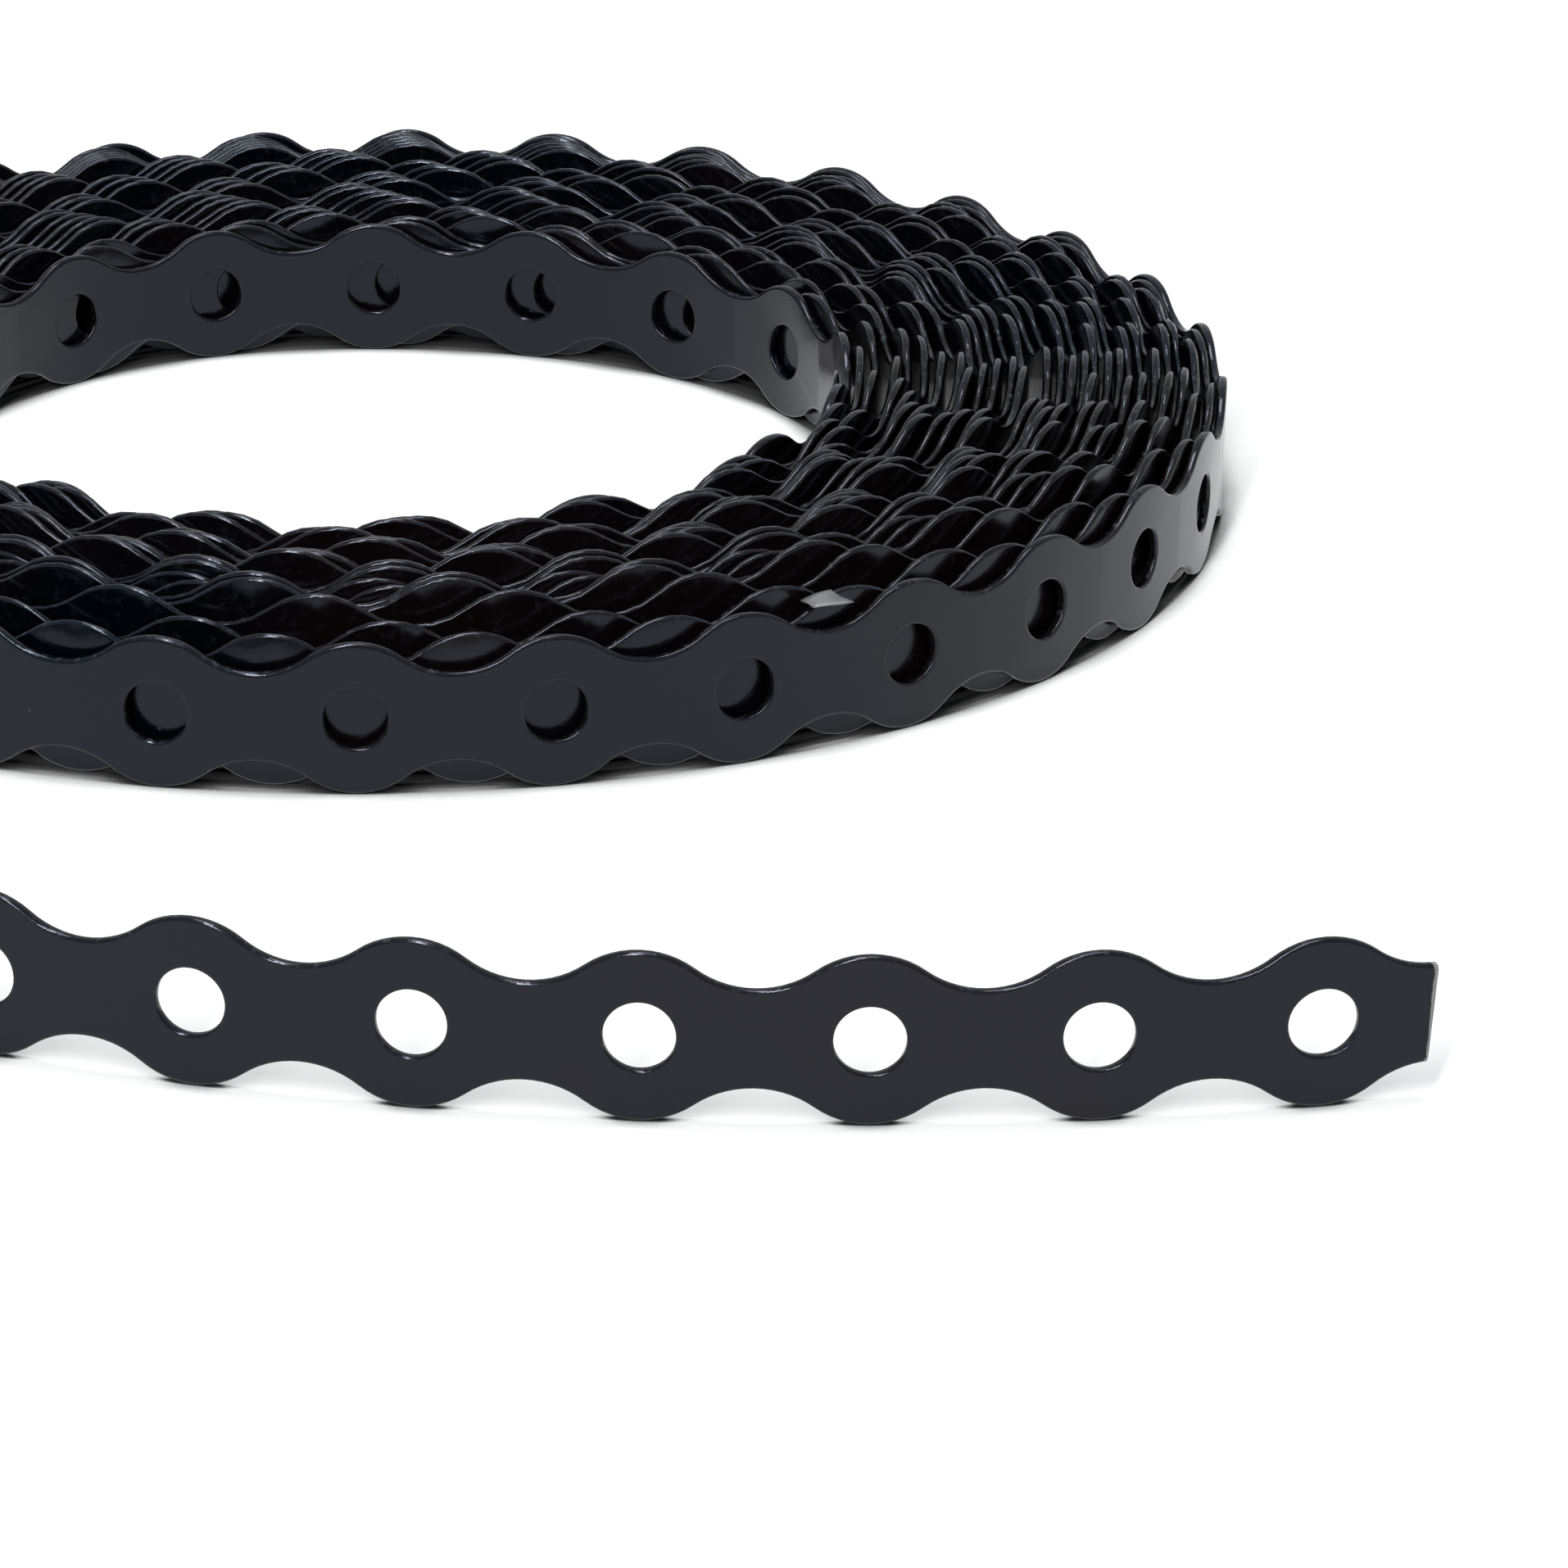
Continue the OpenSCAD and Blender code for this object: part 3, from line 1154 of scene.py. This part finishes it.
@dataclass(frozen=True)
class FilmFinish:
    """Dull, milky plastic film."""

    grain: GrainGroup
    clear: Colour = (0.10, 0.105, 0.11)
    milky: Colour = (0.19, 0.19, 0.195)
    cloud_scale: float = 500.0
    milky_slope: tuple[float, float] = (4.0, -1.5)
    rough: float = 0.35

    def material(self) -> bpy.types.Material:
        """Makes the material.

        Returns:
            The material.
        """
        material, bench, shader, group = self.grain.dress("milky_film", {"Cloud Scale": self.cloud_scale})
        share = bench.ramp(group.outputs["Clouds"], self.milky_slope)
        bench.feed(shader, "Base Color", bench.blend(share, self.clear, self.milky))
        bench.feed(shader, "Roughness", self.rough)
        return material


@dataclass(frozen=True)
class FilmScrap:
    """Scrap of film caught on top of the second turn. Its corners are in metres, round from the left."""

    grain: GrainGroup
    corners: tuple[Point, ...] = (
        (40.95 * MM, -32.25 * MM, 11.4 * MM), (43.36 * MM, -31.60 * MM, 12.05 * MM),
        (45.12 * MM, -33.70 * MM, 11.85 * MM), (42.00 * MM, -34.25 * MM, 11.3 * MM))
    thickness: float = 0.05 * MM
    cells: tuple[int, int] = (8, 5)
    # Height of the curl, and its waves along and across the scrap
    curl: float = 0.14 * MM
    long_wave: tuple[float, float] = (3.1, 1.7)
    cross_wave: tuple[float, float] = (-1.0, 4.3)
    cross_share: float = 0.6

    def build(self) -> bpy.types.Object:
        """Builds and dresses the scrap.

        Returns:
            The piece.
        """
        columns, rows = self.cells
        points = [self._point(i / columns, j / rows) for i in range(columns + 1) for j in range(rows + 1)]
        firsts = [i * (rows + 1) + j for i in range(columns) for j in range(rows)]
        sheet = bpy.data.meshes.new("film_scrap_sheet")
        sheet.from_pydata(points, [], [(at, at + 1, at + rows + 2, at + rows + 1) for at in firsts])
        sheet.shade_smooth()
        piece = put("film_scrap", sheet)
        modifier = piece.modifiers.new("film", "SOLIDIFY")
        modifier.thickness = self.thickness
        piece.data = settled(piece)
        piece.modifiers.remove(modifier)
        bpy.data.meshes.remove(sheet)
        piece.data.name = "film_scrap"
        piece.data.materials.append(FilmFinish(self.grain).material())
        return piece

    def _point(self, a: float, b: float) -> Vector:
        """Point of the curled sheet.

        Args:
            a: Share of the way from the left to the back.
            b: Share of the way from there to the front.

        Returns:
            Its place.
        """
        left, back, right, front = (Vector(corner) for corner in self.corners)
        point = left.lerp(back, a).lerp(front.lerp(right, a), b)
        along, across = ((wave[0] * a + wave[1] * b) for wave in (self.long_wave, self.cross_wave))
        point.z += self.curl * (math.sin(along) - self.cross_share * math.cos(across))
        return point


def seen_plainly(bench: NodeBench) -> Link:
    """Whether a ray comes from the camera, a reflection or a clear piece.

    Args:
        bench: Helper for a material's or a world's tree.

    Returns:
        1 for such a ray, or else 0.
    """
    path = bench.add("ShaderNodeLightPath").outputs
    mirrored = bench.math("MAXIMUM", path["Is Glossy Ray"], path["Is Transmission Ray"])
    return bench.math("MAXIMUM", path["Is Camera Ray"], mirrored)


@dataclass(frozen=True)
class FloorFinish:
    """Pale studio floor that shows white to the camera, with shadows darkest where something touches it."""

    pale: float = 0.66
    lift: float = 0.36
    dark: float = 0.12
    # How far the touching shadow reaches, and the share of open air from its darkest part to its end
    reach: float = 7.0 * MM
    shade: tuple[float, float] = (0.45, 0.63)
    rays: int = 16

    def material(self) -> bpy.types.Material:
        """Makes the material.

        Returns:
            The material.
        """
        material = bpy.data.materials.new("studio_floor")
        material.use_nodes = True
        material.node_tree.nodes.clear()
        bench = NodeBench(material.node_tree)
        # Painted contact shadow: the floor's colour and its glow are darkened where the ambient occlusion is
        # low
        open_air = bench.add("ShaderNodeAmbientOcclusion", {"Distance": self.reach}, samples=self.rays)
        clear = bench.add("ShaderNodeMapRange", {
            "Value": open_air.outputs["AO"], "From Min": self.shade[0], "From Max": self.shade[1]},
            interpolation_type="SMOOTHSTEP").outputs[0]
        direct = bench.add("ShaderNodeLightPath").outputs["Is Camera Ray"]
        clear = bench.math("MAXIMUM", clear, bench.math("SUBTRACT", 1.0, direct))
        colour = bench.blend(clear, (self.pale * self.dark,) * 3, (self.pale,) * 3)
        matt = bench.add("ShaderNodeBsdfDiffuse", {"Color": colour})
        strength = bench.math("MULTIPLY", clear, bench.math("MULTIPLY", seen_plainly(bench), self.lift))
        glow = bench.add("ShaderNodeEmission", {"Color": (1, 1, 1, 1), "Strength": strength})
        both = bench.add("ShaderNodeAddShader", {0: matt.outputs[0], 1: glow.outputs[0]})
        bench.add("ShaderNodeOutputMaterial", {"Surface": both.outputs[0]})
        return material


@dataclass(frozen=True)
class SoftBox:
    """Rectangular studio lamp, in metres and watts, aimed at a point."""

    name: str
    place: Point
    size: tuple[float, float]
    power: float
    aim: Point = (0.0, 0.0, 0.0)

    def hang(self) -> None:
        """Adds the lamp to the scene."""
        lamp = bpy.data.lights.new(self.name, "AREA")
        lamp.shape = "RECTANGLE"
        lamp.size, lamp.size_y = self.size
        lamp.energy = self.power
        holder = put(self.name, lamp)
        holder.location = self.place
        holder.rotation_euler = (Vector(self.aim) - Vector(self.place)).to_track_quat("-Z", "Y").to_euler()


@dataclass
class Studio:
    """Floor, light and camera. Lengths are in metres, angles in degrees, and the sensor is in millimetres."""

    floor_size: float = 40.0
    floor_drop: float = 0.02 * MM
    world_light: float = 0.21
    world_seen: float = 0.62
    world_colour: Colour = (0.90, 0.96, 1.0)
    eye: Point = (39.97 * MM, -421.33 * MM, 152.7 * MM)
    pitch_down: float = 21.91
    roll: float = 0.76
    focal_share: float = 6620.0 / 1914.0
    sensor: float = 36.0
    clip: tuple[float, float] = (0.01, 20.0)
    boxes: tuple[SoftBox, ...] = (
        SoftBox("front_softbox", (-0.25, -1.00, 1.20), (0.10, 1.50), 23.0),
        SoftBox("top_softbox", (0.0, 0.10, 1.30), (0.45, 0.45), 6.0),
    )

    def build(self) -> None:
        """Sets up the studio."""
        self._floor()
        self._world()
        for box in self.boxes:
            box.hang()
        self._camera()
        bpy.context.scene.view_settings.view_transform = "Standard"

    def _floor(self) -> None:
        """Wide floor, a hair under the strap."""
        half = self.floor_size / 2
        corners = [(x * half, y * half, -self.floor_drop) for x, y in ((-1, -1), (1, -1), (1, 1), (-1, 1))]
        mesh = bpy.data.meshes.new("studio_floor")
        mesh.from_pydata(corners, [], [(0, 1, 2, 3)])
        mesh.materials.append(FloorFinish().material())
        floor = put("studio_floor", mesh)
        floor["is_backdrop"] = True

    def _world(self) -> None:
        """Even white surroundings."""
        world = bpy.data.worlds.new("studio_world")
        bpy.context.scene.world = world
        world.use_nodes = True
        bench = NodeBench(world.node_tree)
        back = world.node_tree.nodes["Background"]
        share = self.world_seen - self.world_light
        bench.feed(back, "Color", (*self.world_colour, 1))
        bench.feed(back, "Strength", bench.math("MULTIPLY_ADD", seen_plainly(bench), share, self.world_light))

    def _camera(self) -> None:
        """Camera at the photograph's viewpoint."""
        data = bpy.data.cameras.new("studio_camera")
        data.sensor_width = self.sensor
        data.sensor_fit = "HORIZONTAL"
        data.lens = self.sensor * self.focal_share
        data.clip_start, data.clip_end = self.clip
        tilt, roll = math.radians(self.pitch_down), math.radians(self.roll)
        ahead = Vector((0, math.cos(tilt), -math.sin(tilt)))
        right, up = Vector((1, 0, 0)), Vector((0, math.sin(tilt), math.cos(tilt)))
        cos, sin = math.cos(roll), math.sin(roll)
        right, up = cos * right + sin * up, cos * up - sin * right
        camera = put("studio_camera", data)
        turned = Matrix((right, up, -ahead)).transposed().to_4x4()
        camera.matrix_world = Matrix.Translation(self.eye) @ turned
        bpy.context.scene.camera = camera


def main() -> None:
    """Builds the strap and the studio, and works out the bounds of the CAD parts and of the scene."""
    logging.basicConfig(level=logging.INFO, format="%(name)s: %(message)s")
    grain = GrainGroup()
    scrap = FilmScrap(grain).build()
    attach(scrap, "root")
    LOG.info("%s is in place", scrap.name)
    for piece in StrapCoil(grain).build():
        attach(piece, "root")
        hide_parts("strap")
        LOG.info("%s is in place", piece.name)
    Studio().build()
    boxes = {name: [list(map(float, corner)) for corner in box]
             for name, box in (("cad", CAD_BOX), ("visual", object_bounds()))}


if __name__ == "__main__":
    main()
